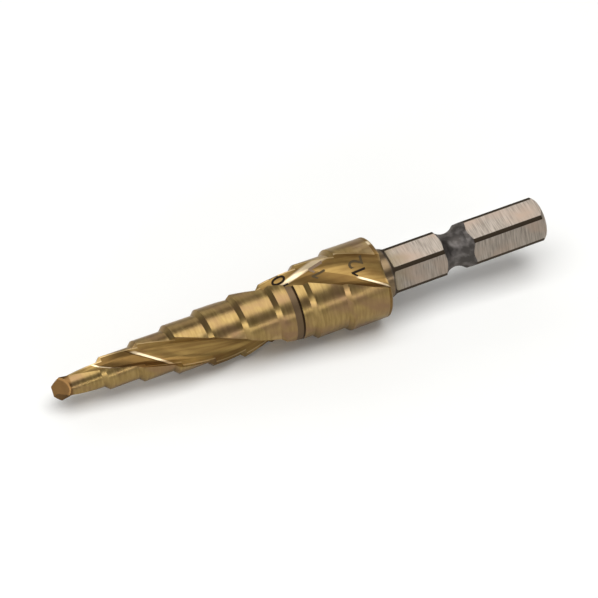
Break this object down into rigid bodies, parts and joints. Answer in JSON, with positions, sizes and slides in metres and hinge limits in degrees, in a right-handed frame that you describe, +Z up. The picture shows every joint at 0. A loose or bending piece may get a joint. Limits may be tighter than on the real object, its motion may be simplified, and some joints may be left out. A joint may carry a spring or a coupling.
{
  "type": "step drill",
  "caption": "One-piece step drill: a pointed cone of short stepped lands with helical flutes and a gold coat, on a bare steel hexagon shank with a ball groove.",
  "frame": {"origin": "middle of the bounding box, on the table plane, with the drill lying as it comes to rest: on the corners of three steps, its point lower than its shank", "axes": "+Z up; the drill's length runs along X, leaning 3.25 degrees, with the point towards -X and the shank towards +X"},
  "size_m": [0.0736, 0.0118, 0.0116],
  "materials": {
    "step_drill": "ground high speed steel; the stepped body has a gold titanium nitride coat, the hexagon shank is bare with fine grinding marks across it"
  },
  "bodies": {
    "root": {"step_drill": "step_drill"}
  },
  "joints": []
}
